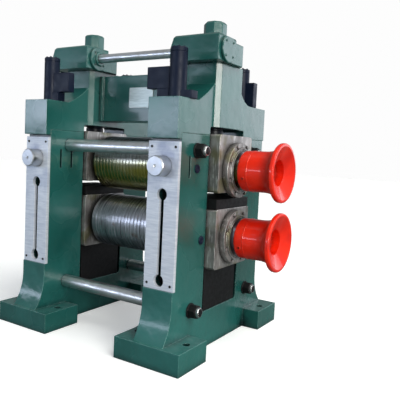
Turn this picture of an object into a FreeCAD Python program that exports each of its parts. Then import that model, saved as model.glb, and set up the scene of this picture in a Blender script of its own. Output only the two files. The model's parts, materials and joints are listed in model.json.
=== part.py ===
"""Two-high rolling mill stand: every piece is one STEP file in parts/.

Axes: +X along the rolls towards the drive side, +Y along the pass line, +Z up.
The origin is on the floor, midway between the two housings.  Millimetres.
"""

import FreeCAD
import Part
import math
import os

# ---- driving dimensions -------------------------------------------------

# whole stand
housing_spacing = 994.0  # between the centre planes of the two housings
foot_top_z = 122.0
sill_top_z = 225.0
spacer_height = 255.0  # packing under the lower chocks
roll_gap = 40.0
shoulder_height = 186.0  # cap's shoulder over the top of the posts
tower_height = 234.0  # cap's tower over its shoulder

# housing casting
post_thickness = 200.0  # along X
post_face_y = 490.0  # outer faces of the posts
window_half_width = 205.0
window_corner_radius = 18.0
leg_ledge_height = 178.0  # over the sill; the front liner stands on this ledge
leg_ledge_proud = 6.0
leg_flare_height = 188.0  # over the foot
leg_toe_setback = 20.0  # leg's toe behind the end of its foot
leg_flare_bow = 0.72  # how hollow the flare is: 0.5 straight, 1 the most
full_bow = 0.55  # how far towards the corner the most hollow arc reaches
foot_width = 436.0
foot_end_y = 602.0
foot_length = 273.0
foot_hole_offset = 164.0  # anchor holes to the housing's centre plane
foot_hole_y = 455.0
foot_hole_radius = 21.0
web_height = 178.0  # over the foot
web_bow = 0.70
web_thickness = 34.0
web_rod_gap = 13.0  # between a web and the tie rod's nut

# cap casting
lip_drop = 32.0  # how far the lip hangs below the top of the posts
lip_depth = 39.0
cap_rear_overhang = 15.0
recess_height = 50.0  # cap's recess over the window
recess_corner_radius = 12.0
shoulder_front_y = 345.0  # where the front shoulder starts to rise
shoulder_rear_y = 270.0
shoulder_rear_lift = 26.0  # rear shoulder over the front one
shoulder_front_rise = 114.0  # height of its curve where it meets the tower
shoulder_rear_rise = 129.0
shoulder_front_bow = 0.58
shoulder_rear_bow = 0.80
tower_proud = 28.0  # beyond the cap's plate, each side
tower_front_y = 176.0
tower_rear_y = 124.0
tower_chamfer = 26.0
cap_joint_gap = 1.0  # packing line between cap and posts

# liners
liner_thickness = 20.0
liner_top_gap = 15.0  # under the cap's lip
rear_liner_inset = 15.0  # each side, inside the post's width
slot_bottom_hole_rise = 49.0  # over the liner's lower edge
slot_length = 470.0  # between the centres of its end holes
slot_hole_radius = 33.0
slot_width = 30.0
slot_undercut_width = 54.0
slot_depth = 62.0  # behind the liner, in the post

# locking pins and their keeper slots
pin_radius = 55.0
pin_drop = 133.0  # below the liner's top edge
pin_proud = 75.0
pin_depth = 170.0  # into the post
pin_fit = 0.5
keeper_slot_width = 14.0
keeper_slot_height = 120.0
keeper_slot_y = 402.0
keeper_slot_second_y = 311.0
keeper_slot_second_depth = 30.0
pin_edge_chamfer = 5.0

# tie rods
rod_radius = 28.0
rod_tube_radius = 40.0  # spacer tube on the rod between the housings
rod_y = 332.0
rod_high_drop = 90.0  # below the top of the posts
rod_low_rise = 41.0  # over the sill
rod_fit = 0.5
nut_radius = 41.0
nut_length = 52.0
nut_sides = 6
nut_turn = 15.0  # degrees
rod_end_proud = 16.0  # past the nut
rod_end_chamfer = 5.0

# rolls
barrel_radius = 180.0
barrel_length = 660.0
barrel_edge = 6.0
roll_shoulder_radius = 142.0
neck_radius = 110.0
wobbler_radius = 84.0
roll_end_gap = 6.0  # rotating shoulder to the still chock

# chocks
chock_fit = 5.0  # clearance in the window, each side
chock_inner_proud = 30.0
chock_outer_proud = 65.0
upper_chock_above = 205.0  # over its roll's axis
upper_chock_below = 132.0
lower_chock_above = 173.0
lower_chock_below = 180.0
chock_entry = 10.0  # upper chock's top over the top of the posts
neck_clearance = 1.0
chock_chamfer = 12.0
separator_height = 58.0
separator_half_y = 195.0
separator_inset_x = 5.0
spacer_half_x = 96.0
cover_radius = 163.0
cover_thickness = 48.0
cover_step_radius = 136.0
cover_step = 10.0
cover_clearance = 2.0

# roll couplings
coupling_gap = 20.0
coupling_length = 250.0
coupling_radius = 120.0
coupling_flange_radius = 171.0
coupling_flange_width = 27.0
coupling_flare_length = 84.0
coupling_flare_bow = 0.74
coupling_root_radius = 104.0
coupling_root_length = 22.0
coupling_root_bow = 0.75
coupling_seat_depth = 120.0
coupling_seat_fit = 0.5
coupling_dish_radius = 138.0
coupling_dish_depth = 26.0
coupling_socket_radius = 74.0
coupling_socket_depth = 90.0
coupling_edge = 9.0

# screwdown
screw_radius = 60.0
screw_clearance = 6.0
screw_engagement = 110.0  # of the screw in the gearbox
gearbox_inner_x = 170.0  # to the -X side of the housing's centre plane
gearbox_outer_x = 158.0
gearbox_front_y = 257.0
gearbox_rear_y = 142.0
gearbox_rear_corner = 108.0
gearbox_height = 150.0
gearbox_edge = 14.0
gearbox_lid_step = 26.0  # lid over the body at the rear corners
gearbox_lid_side_y = 55.0  # the lid's sides end this far in front of the screw's axis
gearbox_slant_x = 26.0
gearbox_slant_z = 72.0
gearbox_roof = 6.0  # metal left above the screw's blind bore
worm_y = 157.0
worm_rise = 71.0  # over the bottom of the gearbox
worm_shaft_radius = 28.0
worm_shaft_fit = 1.0
worm_shaft_end = 95.0  # shaft ends this far short of the screw axis
worm_cover_radius = 77.0
worm_cover_thickness = 16.0
worm_hub_radius = 45.0
worm_hub_length = 14.0
boss_radius = 71.0  # over its corners
boss_sides = 8
boss_turn = 22.5  # degrees, so its flats face the axes
boss_height = 116.0
boss_edge = 12.0
boss_offset = (-14.0, -16.0)  # from the screw's axis

# clamp cylinders on the shoulders
clamp_front_y = 405.0
clamp_rear_y = 338.0
clamp_radius = 48.0
clamp_height = 283.0  # over the front shoulder
clamp_edge = 7.0
clamp_foot_height = 56.0
clamp_foot_half_y = 30.0
drive_foot_reach = 119.0  # inboard of the column's axis
operator_foot_reach = 90.0
clamp_lug_reach = 112.0  # outboard, on the drive side in front
clamp_lug_half_y = 30.0
clamp_lug_height = 44.0
drive_valve_reach = 193.0
operator_valve_reach = 176.0
valve_height = 120.0  # over the foot
valve_half_y = 26.0
rear_valve_reach = 102.0
rear_valve_height = 160.0

# cross beam
beam_half_y = 80.0
beam_height = 302.0
beam_drop = 33.0  # its top below the tower's
beam_wall = 20.0
beam_flange_half_y = 98.0
beam_flange_thickness = 26.0
nameplate_left_x = -116.0
nameplate_right_x = 80.0
nameplate_height = 132.0
nameplate_rise = 89.0  # over the beam's lower edge
nameplate_thickness = 5.0

# ---- worked out from them -----------------------------------------------

half_spacing = housing_spacing / 2
half_thickness = post_thickness / 2
tower_half_x = half_thickness + tower_proud
chock_outer_x = half_thickness + chock_outer_proud
chock_inner_x = half_thickness + chock_inner_proud
chock_half_y = window_half_width - chock_fit
slot_front_y = post_face_y + liner_thickness
pin_bottom_y = post_face_y - pin_depth

lower_chock_bottom_z = sill_top_z + spacer_height
lower_axis_z = lower_chock_bottom_z + lower_chock_below
lower_chock_top_z = lower_axis_z + lower_chock_above
upper_axis_z = lower_axis_z + 2 * barrel_radius + roll_gap
upper_chock_bottom_z = upper_axis_z - upper_chock_below
upper_chock_top_z = upper_axis_z + upper_chock_above

parting_z = upper_chock_top_z - chock_entry  # top of the posts, where the cap sits down
recess_top_z = parting_z + recess_height
shoulder_top_z = parting_z + shoulder_height
tower_top_z = shoulder_top_z + tower_height
shoulder_front_rise_z = shoulder_top_z + shoulder_front_rise
shoulder_rear_top_z = shoulder_top_z + shoulder_rear_lift
shoulder_rear_rise_z = shoulder_rear_top_z + shoulder_rear_rise
lip_bottom_z = parting_z - lip_drop
leg_ledge_z = sill_top_z + leg_ledge_height
leg_flare_top_z = foot_top_z + leg_flare_height
web_top_z = foot_top_z + web_height
rod_high_z = parting_z - rod_high_drop
rod_low_z = sill_top_z + rod_low_rise

liner_top_z = lip_bottom_z - liner_top_gap
slot_bottom_hole_z = leg_ledge_z + slot_bottom_hole_rise
slot_top_hole_z = slot_bottom_hole_z + slot_length
pin_z = liner_top_z - pin_drop

gearbox_top_z = tower_top_z + gearbox_height
screw_top_z = tower_top_z + screw_engagement
worm_z = tower_top_z + worm_rise
boss_top_z = gearbox_top_z + boss_height
clamp_top_z = shoulder_top_z + clamp_height
beam_top_z = tower_top_z - beam_drop
beam_bottom_z = beam_top_z - beam_height
nameplate_bottom_z = beam_bottom_z + nameplate_rise

sides = (("drive", 1), ("operator", -1))


# ---- shape helpers --------------------------------------------------------


def vec(x, y, z):
    return FreeCAD.Vector(x, y, z)


def block(x, y, z):
    """A box from three (low, high) pairs."""
    size = (x[1] - x[0], y[1] - y[0], z[1] - z[0])
    return Part.makeBox(*size, vec(x[0], y[0], z[0]))


def rod(radius, start, length, axis):
    return Part.makeCylinder(radius, length, vec(*start), vec(*axis))


def prism(radius, sides_count, start, length, axis, turn=0.0):
    """A regular prism; radius is over its corners."""
    corners = []
    for k in range(sides_count + 1):
        a = math.radians(turn) + 2 * math.pi * k / sides_count
        corners.append(vec(radius * math.cos(a), radius * math.sin(a), 0))
    shape = Part.Face(Part.makePolygon(corners)).extrude(vec(0, 0, length))
    placing = FreeCAD.Rotation(vec(0, 0, 1), vec(*axis))
    shape.Placement = FreeCAD.Placement(vec(*start), placing)
    return shape


def path_face(points):
    """A face from corner points; a point marked "arc" is the middle of an arc."""
    edges = []
    last = points[0]
    k = 1
    while k < len(points):
        if points[k][0] == "arc":
            middle, end = points[k][1], points[k + 1]
            edges.append(Part.Arc(last, middle, end).toShape())
            last = end
            k += 2
        else:
            edges.append(Part.LineSegment(last, points[k]).toShape())
            last = points[k]
            k += 1
    edges.append(Part.LineSegment(last, points[0]).toShape())
    return Part.Face(Part.Wire(edges))


def hollow(a, b, bow):
    """Middle point of the hollow arc from a to b that bows to the corner under b."""
    corner = (b[0], a[1])
    half = ((a[0] + b[0]) / 2, (a[1] + b[1]) / 2)
    share = full_bow * (2 * bow - 1)
    return (
        half[0] + share * (corner[0] - half[0]),
        half[1] + share * (corner[1] - half[1]),
    )


def slab(outline, x_low, x_high):
    """Extrude a (y, z) outline along X; ("arc", (y, z)) marks an arc's middle."""
    points = []
    for p in outline:
        if p[0] == "arc":
            points.append(("arc", vec(x_low, *p[1])))
        else:
            points.append(vec(x_low, *p))
    return path_face(points).extrude(vec(x_high - x_low, 0, 0))


def turned(outline, axis_z, direction):
    """Revolve an (x, radius) outline about a roll axis; direction mirrors X."""
    points = []
    for p in outline:
        if p[0] == "arc":
            points.append(("arc", vec(direction * p[1][0], 0, axis_z + p[1][1])))
        else:
            points.append(vec(direction * p[0], 0, axis_z + p[1]))
    return path_face(points).revolve(vec(0, 0, axis_z), vec(1, 0, 0), 360)


def bevel(shape, size, picks):
    """Chamfer the edges that the test picks."""
    return shape.makeChamfer(size, [e for e in shape.Edges if picks(e)])


def is_along(edge, axis):
    if not isinstance(edge.Curve, Part.Line):
        return False
    direction = edge.Curve.Direction
    return abs(abs(direction.dot(vec(*axis))) - 1) < 1e-6


def as_one(shapes):
    first, rest = shapes[0], shapes[1:]
    return first.fuse(rest).removeSplitter() if rest else first


def export(name, solids):
    """Write one node; solids that don't touch may share it."""
    whole = solids[0] if len(solids) == 1 else Part.makeCompound(solids)
    whole.exportStep(f"parts/{name}.step")


def cylinder_x(radius, x_low, x_high, y, z):
    return rod(radius, (x_low, y, z), x_high - x_low, (1, 0, 0))


# ---- housings and caps ----------------------------------------------------


def leg_outline():
    """The front leg's outline from the ledge down to the floor, as (y, z)."""
    toe = (-(foot_end_y - leg_toe_setback), foot_top_z)
    knee = (-(slot_front_y + leg_ledge_proud), leg_flare_top_z)
    return [knee, ("arc", hollow(toe, knee, leg_flare_bow)), toe]


def rear_leg_outline():
    toe = (foot_end_y - leg_toe_setback, foot_top_z)
    knee = (post_face_y, leg_flare_top_z)
    return [toe, ("arc", hollow(toe, knee, leg_flare_bow)), knee]


def rounded_window(top_z):
    """The window's outline, open at the top, with small arcs in its low corners."""
    w, r = window_half_width, window_corner_radius
    bend = r * (1 - math.sqrt(0.5))
    return [
        (-w, top_z),
        (-w, sill_top_z + r),
        ("arc", (-w + bend, sill_top_z + bend)),
        (-w + r, sill_top_z),
        (w - r, sill_top_z),
        ("arc", (w - bend, sill_top_z + bend)),
        (w, sill_top_z + r),
        (w, top_z),
    ]


def feet(centre_x):
    low_x, high_x = centre_x - foot_width / 2, centre_x + foot_width / 2
    made = []
    for end in (-1, 1):
        y = sorted((end * foot_end_y, end * (foot_end_y - foot_length)))
        made.append(block((low_x, high_x), y, (0, foot_top_z)))
    return made


def webs(centre_x):
    """A hollow-edged web on each foot, on the -X side, between tie rod and anchor hole."""
    inner = centre_x - half_thickness
    toe = (centre_x - foot_width / 2, foot_top_z)
    top = (inner, web_top_z)
    middle = hollow(toe, top, web_bow)
    first = rod_y + nut_radius + web_rod_gap
    made = []
    for end in (-1, 1):
        y_low = min(end * first, end * (first + web_thickness))
        points = [
            vec(inner, y_low, foot_top_z),
            vec(toe[0], y_low, toe[1]),
            ("arc", vec(middle[0], y_low, middle[1])),
            vec(top[0], y_low, top[1]),
        ]
        made.append(path_face(points).extrude(vec(0, web_thickness, 0)))
    return made


def slot_cut(centre_x, end, width, hole_radius, face_y, depth):
    """A slot with a round hole at each end, sunk from face_y into the post."""
    y = sorted((end * face_y, end * (face_y - depth)))
    tools = [
        block(
            (centre_x - width / 2, centre_x + width / 2),
            y,
            (slot_bottom_hole_z, slot_top_hole_z),
        )
    ]
    for z in (slot_top_hole_z, slot_bottom_hole_z):
        tools.append(rod(hole_radius, (centre_x, y[0], z), depth, (0, 1, 0)))
    return as_one(tools)


def housing(centre_x):
    x = (centre_x - half_thickness, centre_x + half_thickness)
    ledge_y = slot_front_y + leg_ledge_proud
    outline = [(-post_face_y, parting_z)] + rounded_window(parting_z)
    outline += [(post_face_y, parting_z)] + rear_leg_outline()[::-1]
    outline += [(foot_end_y - leg_toe_setback, 0), (-(foot_end_y - leg_toe_setback), 0)]
    outline += leg_outline()[::-1]
    outline += [(-ledge_y, leg_ledge_z), (-post_face_y, leg_ledge_z)]
    body = as_one([slab(outline, *x)] + feet(centre_x) + webs(centre_x))

    cuts = []
    for end in (-1, 1):
        for hole_x in (centre_x - foot_hole_offset, centre_x + foot_hole_offset):
            start = (hole_x, end * foot_hole_y, -1)
            cuts.append(rod(foot_hole_radius, start, foot_top_z + 2, (0, 0, 1)))
        for z in (rod_high_z, rod_low_z):
            cuts.append(cylinder_x(rod_radius + rod_fit, x[0] - 1, x[1] + 1, end * rod_y, z))
        y = sorted((end * pin_bottom_y, end * post_face_y))
        cuts.append(rod(pin_radius + pin_fit, (centre_x, y[0], pin_z), y[1] - y[0], (0, 1, 0)))
        cuts.append(
            slot_cut(centre_x, end, slot_undercut_width, slot_hole_radius, post_face_y, slot_depth)
        )
        cuts += keeper_slots(centre_x, end)
    return body.cut(cuts)


def keeper_slots(centre_x, end):
    """Thin upright slots that the pins' keeper plates drop through."""
    z = (pin_z - keeper_slot_height / 2, pin_z + keeper_slot_height / 2)
    half = keeper_slot_width / 2
    first = end * keeper_slot_y
    second = end * keeper_slot_second_y
    inward = 1 if centre_x < 0 else -1
    inner_x = centre_x + inward * half_thickness
    deep_x = sorted((inner_x, inner_x - inward * keeper_slot_second_depth))
    through_x = (centre_x - half_thickness - 1, centre_x + half_thickness + 1)
    return [
        block(through_x, (first - half, first + half), z),
        block(deep_x, (second - half, second + half), z),
    ]


def cap(centre_x):
    x = (centre_x - half_thickness, centre_x + half_thickness)
    bottom_z = parting_z + cap_joint_gap
    front_y = -(post_face_y + lip_depth)
    rear_y = post_face_y + cap_rear_overhang
    front_start = (-shoulder_front_y, shoulder_top_z)
    front_end = (-tower_front_y, shoulder_front_rise_z)
    rear_start = (shoulder_rear_y, shoulder_rear_top_z)
    rear_end = (tower_rear_y, shoulder_rear_rise_z)
    r = recess_corner_radius
    bend = r * (1 - math.sqrt(0.5))
    w = window_half_width
    lip_back_y = -(post_face_y + cap_joint_gap)
    outline = [
        (front_y, lip_bottom_z),
        (front_y, shoulder_top_z),
        front_start,
        ("arc", hollow(front_start, front_end, shoulder_front_bow)),
        front_end,
        (-tower_front_y, tower_top_z),
        (tower_rear_y, tower_top_z),
        rear_end,
        ("arc", hollow(rear_start, rear_end, shoulder_rear_bow)),
        rear_start,
        (rear_y, shoulder_rear_top_z),
        (rear_y, bottom_z),
        (w, bottom_z),
        (w, recess_top_z - r),
        ("arc", (w - bend, recess_top_z - bend)),
        (w - r, recess_top_z),
        (-w + r, recess_top_z),
        ("arc", (-w + bend, recess_top_z - bend)),
        (-w, recess_top_z - r),
        (-w, bottom_z),
        (lip_back_y, bottom_z),
        (lip_back_y, lip_bottom_z),
    ]
    tower = block(
        (centre_x - tower_half_x, centre_x + tower_half_x),
        (-tower_front_y, tower_rear_y),
        (recess_top_z, tower_top_z),
    )
    tower = bevel(tower, tower_chamfer, lambda e: is_along(e, (0, 0, 1)))
    bore = rod(
        screw_radius + screw_clearance,
        (centre_x, 0, recess_top_z - 1),
        tower_top_z - recess_top_z + 2,
        (0, 0, 1),
    )
    return as_one([slab(outline, *x), tower]).cut(bore)


# ---- liners, pins and rods ------------------------------------------------


def front_liner(centre_x):
    x = (centre_x - half_thickness, centre_x + half_thickness)
    return liner(centre_x, x, -1)


def rear_liner(centre_x):
    half = half_thickness - rear_liner_inset
    return liner(centre_x, (centre_x - half, centre_x + half), 1)


def liner(centre_x, x, end):
    y = sorted((end * post_face_y, end * slot_front_y))
    plate = block(x, y, (leg_ledge_z, liner_top_z))
    hole = rod(pin_radius + pin_fit, (centre_x, y[0], pin_z), liner_thickness, (0, 1, 0))
    slot = slot_cut(centre_x, end, slot_width, slot_hole_radius, slot_front_y, liner_thickness)
    return plate.cut([hole, slot])


def locking_pin(centre_x, end):
    y = sorted((end * pin_bottom_y, end * (slot_front_y + pin_proud)))
    pin = rod(pin_radius, (centre_x, y[0], pin_z), y[1] - y[0], (0, 1, 0))
    return bevel(pin, pin_edge_chamfer, lambda e: isinstance(e.Curve, Part.Circle))


def tie_rod(y, z):
    """A rod with its nuts' threaded ends and the spacer tube in one."""
    end_x = half_spacing + half_thickness + nut_length + rod_end_proud
    bar = cylinder_x(rod_radius, -end_x, end_x, y, z)
    bar = bevel(bar, rod_end_chamfer, lambda e: isinstance(e.Curve, Part.Circle))
    tube_x = half_spacing - half_thickness
    return as_one([bar, cylinder_x(rod_tube_radius, -tube_x, tube_x, y, z)])


def tie_rod_nut(y, z, direction):
    face_x = half_spacing + half_thickness
    start = (direction * face_x, y, z)
    along = (direction, 0, 0)
    nut = prism(nut_radius, nut_sides, start, nut_length, along, nut_turn)
    return nut.cut(rod(rod_radius, start, nut_length, along))


# ---- rolls, chocks and couplings ------------------------------------------


def roll(axis_z):
    """Barrel, shoulders and necks; the drive end carries the coupling's seat."""
    half = barrel_length / 2
    chock_x = half_spacing - chock_inner_x
    shoulder_x = chock_x - roll_end_gap
    cover_x = half_spacing + chock_outer_x + cover_thickness
    seat_x = cover_x + coupling_gap
    drive_end = seat_x + coupling_seat_depth
    operator_end = half_spacing + chock_outer_x - coupling_gap
    outline = [
        (-operator_end, 0),
        (-operator_end, neck_radius),
        (-shoulder_x, neck_radius),
        (-shoulder_x, roll_shoulder_radius),
        (-half, roll_shoulder_radius),
        (-half, barrel_radius - barrel_edge),
        (-half + barrel_edge, barrel_radius),
        (half - barrel_edge, barrel_radius),
        (half, barrel_radius - barrel_edge),
        (half, roll_shoulder_radius),
        (shoulder_x, roll_shoulder_radius),
        (shoulder_x, neck_radius),
        (cover_x, neck_radius),
        (cover_x, wobbler_radius),
        (drive_end, wobbler_radius),
        (drive_end, 0),
    ]
    return turned(outline, axis_z, 1)


def chock(direction, axis_z, z):
    x = sorted(
        (
            direction * (half_spacing - chock_inner_x),
            direction * (half_spacing + chock_outer_x),
        )
    )
    body = block(x, (-chock_half_y, chock_half_y), z)
    body = bevel(body, chock_chamfer, lambda e: is_along(e, (1, 0, 0)))
    bore = cylinder_x(neck_radius + neck_clearance, x[0] - 1, x[1] + 1, 0, axis_z)
    return body.cut(bore)


def bearing_cover(direction, axis_z):
    """A stepped ring; the operator side is closed over the end of the neck."""
    face_x = half_spacing + chock_outer_x
    inside = neck_radius + cover_clearance if direction > 0 else 0
    outline = [
        (face_x, inside),
        (face_x, cover_radius),
        (face_x + cover_thickness - cover_step, cover_radius),
        (face_x + cover_thickness - cover_step, cover_step_radius),
        (face_x + cover_thickness, cover_step_radius),
        (face_x + cover_thickness, inside),
    ]
    return turned(outline, axis_z, direction)


def coupling(axis_z):
    """A spool: root, barrel, hollow flare and a dished flange with a socket."""
    start = half_spacing + chock_outer_x + cover_thickness + coupling_gap
    end = start + coupling_length
    rim_x = end - coupling_flange_width
    flare_start = (rim_x - coupling_flare_length, coupling_radius)
    flare_end = (rim_x, coupling_flange_radius - coupling_edge)
    seat = wobbler_radius + coupling_seat_fit
    seat_end = start + coupling_seat_depth + coupling_seat_fit
    root_x = start + coupling_root_length
    outline = [
        (start, seat),
        (start, coupling_root_radius),
        ("arc", hollow((root_x, coupling_radius), (start, coupling_root_radius), coupling_root_bow)),
        (root_x, coupling_radius),
        flare_start,
        ("arc", hollow(flare_start, flare_end, coupling_flare_bow)),
        flare_end,
        (rim_x + coupling_edge, coupling_flange_radius),
        (end - coupling_edge, coupling_flange_radius),
        (end, coupling_flange_radius - coupling_edge),
        (end, coupling_dish_radius),
        (end - coupling_dish_depth, coupling_dish_radius - coupling_dish_depth / 2),
        (end - coupling_dish_depth, coupling_socket_radius),
        (end - coupling_socket_depth, coupling_socket_radius),
        (end - coupling_socket_depth, 0),
        (seat_end, 0),
        (seat_end, seat),
    ]
    return turned(outline, axis_z, 1)


def separators(direction):
    """The packing block on one lower chock, clear of the upper chock."""
    x = sorted(
        (
            direction * (half_spacing - chock_inner_x + separator_inset_x),
            direction * (half_spacing + chock_outer_x - separator_inset_x),
        )
    )
    z = (lower_chock_top_z, lower_chock_top_z + separator_height)
    return block(x, (-separator_half_y, separator_half_y), z)


def window_spacer(centre_x):
    half_y = window_half_width - window_corner_radius
    z = (sill_top_z, lower_chock_bottom_z)
    return block((centre_x - spacer_half_x, centre_x + spacer_half_x), (-half_y, half_y), z)


# ---- screwdown ------------------------------------------------------------


def pressure_screw(centre_x):
    length = screw_top_z - upper_chock_top_z
    return rod(screw_radius, (centre_x, 0, upper_chock_top_z), length, (0, 0, 1))


def gearbox(centre_x):
    left, right = centre_x - gearbox_inner_x, centre_x + gearbox_outer_x
    corner = gearbox_rear_corner
    plan = [
        vec(left, -gearbox_front_y, tower_top_z),
        vec(right, -gearbox_front_y, tower_top_z),
        vec(right, gearbox_rear_y - corner, tower_top_z),
        vec(right - corner, gearbox_rear_y, tower_top_z),
        vec(left + corner, gearbox_rear_y, tower_top_z),
        vec(left, gearbox_rear_y - corner, tower_top_z),
    ]
    box = path_face(plan).extrude(vec(0, 0, gearbox_height))
    box = bevel(box, gearbox_edge, lambda e: min(v.Z for v in e.Vertexes) > gearbox_top_z - 1)
    slant = path_face(
        [
            vec(left - 1, -gearbox_front_y - 1, gearbox_top_z - gearbox_slant_z),
            vec(left, -gearbox_front_y - 1, gearbox_top_z - gearbox_slant_z),
            vec(left + gearbox_slant_x, -gearbox_front_y - 1, gearbox_top_z + 1),
            vec(left - 1, -gearbox_front_y - 1, gearbox_top_z + 1),
        ]
    ).extrude(vec(0, gearbox_front_y + gearbox_rear_y + 2, 0))
    screw_bore = rod(
        screw_radius + screw_clearance,
        (centre_x, 0, tower_top_z - 1),
        gearbox_height + 1 - gearbox_roof,
        (0, 0, 1),
    )
    return box.cut([slant, screw_bore, worm_bore()] + lid_corners(left, right))


def lid_corners(left, right):
    """What is missing from the lid at its two rear corners, down to the body."""
    z = gearbox_top_z - gearbox_lid_step
    front_y, rear_y = -gearbox_lid_side_y - 1, gearbox_rear_y + 1
    made = []
    for facing, side_x in ((-1, left - 1), (1, right + 1)):
        plan = [
            vec(side_x, front_y, z),
            vec(side_x, rear_y, z),
            vec(side_x - facing * (rear_y - front_y), rear_y, z),
        ]
        made.append(path_face(plan).extrude(vec(0, 0, gearbox_lid_step + 1)))
    return made


def worm_bore():
    """The bore for the shaft that joins both gearboxes."""
    end_x = half_spacing - worm_shaft_end + 2
    return cylinder_x(worm_shaft_radius + worm_shaft_fit, -end_x, end_x, -worm_y, worm_z)


def worm_cover(centre_x, facing):
    """A round cover on one end of a gearbox; the shaft's side has a hub and bore."""
    reach = gearbox_outer_x if facing > 0 else gearbox_inner_x
    face_x = centre_x + facing * reach
    start = (face_x, -worm_y, worm_z)
    made = [rod(worm_cover_radius, start, worm_cover_thickness, (facing, 0, 0))]
    cuts = [over_gearbox_edge(centre_x)]
    if facing * centre_x < 0:
        hub_length = worm_cover_thickness + worm_hub_length
        made.append(rod(worm_hub_radius, start, hub_length, (facing, 0, 0)))
        cuts.append(worm_bore())
    return as_one(made).cut(cuts)


def over_gearbox_edge(centre_x):
    """The space over the gearbox's bevelled edge, which no cover reaches into."""
    reach = gearbox_inner_x + worm_cover_thickness + worm_hub_length
    z = (gearbox_top_z - gearbox_edge, gearbox_top_z)
    return block((centre_x - reach, centre_x + reach), (-gearbox_front_y, 0), z)


def worm_shaft():
    end_x = half_spacing - worm_shaft_end
    return cylinder_x(worm_shaft_radius, -end_x, end_x, -worm_y, worm_z)


def screw_boss(centre_x):
    start = (centre_x + boss_offset[0], boss_offset[1], gearbox_top_z)
    boss = prism(boss_radius, boss_sides, start, boss_height, (0, 0, 1), boss_turn)
    return bevel(boss, boss_edge, lambda e: min(v.Z for v in e.Vertexes) > boss_top_z - 1)


# ---- clamp cylinders ------------------------------------------------------


def clamp_base(end):
    """Where a column stands, as (y, z); the front shoulder is the lower one."""
    if end < 0:
        return (-clamp_front_y, shoulder_top_z)
    return (clamp_rear_y, shoulder_rear_top_z)


def clamp_column(centre_x, end):
    y, z = clamp_base(end)
    column = rod(clamp_radius, (centre_x, y, z), clamp_top_z - z, (0, 0, 1))
    return bevel(column, clamp_edge, lambda e: min(v.Z for v in e.Vertexes) > clamp_top_z - 1)


def beside_column(centre_x, end, reach, half_y, z_low, z_high):
    """A block from the column's face out to a signed reach along X."""
    y = clamp_base(end)[0]
    x = sorted((centre_x, centre_x + reach))
    whole = block(x, (y - half_y, y + half_y), (z_low, z_high))
    return max(whole.cut(clamp_column(centre_x, end)).Solids, key=lambda s: s.Volume)


def clamp_foot(centre_x, end, direction):
    """The blocks at a column's base; only the drive side's front one has a lug outboard."""
    z = clamp_base(end)[1]
    reach = drive_foot_reach if direction > 0 else operator_foot_reach
    top_z = z + clamp_foot_height
    made = [beside_column(centre_x, end, -direction * reach, clamp_foot_half_y, z, top_z)]
    if direction > 0 and end < 0:
        lug_top_z = z + clamp_lug_height
        made.append(beside_column(centre_x, end, clamp_lug_reach, clamp_lug_half_y, z, lug_top_z))
    return made


def valve_block(centre_x, end, direction):
    """Hydraulic block: over the foot in front, on the shoulder outboard behind."""
    z = clamp_base(end)[1]
    if end < 0:
        reach = -direction * (drive_valve_reach if direction > 0 else operator_valve_reach)
        z_low = z + clamp_foot_height
        return beside_column(centre_x, end, reach, valve_half_y, z_low, z_low + valve_height)
    reach = direction * rear_valve_reach
    return beside_column(centre_x, end, reach, valve_half_y, z, z + rear_valve_height)


# ---- cross beam -----------------------------------------------------------


def cross_beam():
    """A hollow box girder with a flange on each tower."""
    end_x = half_spacing - tower_half_x
    z = (beam_bottom_z, beam_top_z)
    girder = block((-end_x, end_x), (-beam_half_y, beam_half_y), z)
    hollow_y = (-beam_half_y + beam_wall, beam_half_y - beam_wall)
    hollow_z = (beam_bottom_z + beam_wall, beam_top_z - beam_wall)
    inner_x = end_x - beam_flange_thickness
    flanges = [
        block(x, (-beam_flange_half_y, beam_flange_half_y), z)
        for x in ((-end_x, -inner_x), (inner_x, end_x))
    ]
    return as_one([girder] + flanges).cut(block((-inner_x, inner_x), hollow_y, hollow_z))


def nameplate():
    return block(
        (nameplate_left_x, nameplate_right_x),
        (-beam_half_y - nameplate_thickness, -beam_half_y),
        (nameplate_bottom_z, nameplate_bottom_z + nameplate_height),
    )


# ---- write every node -----------------------------------------------------


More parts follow.
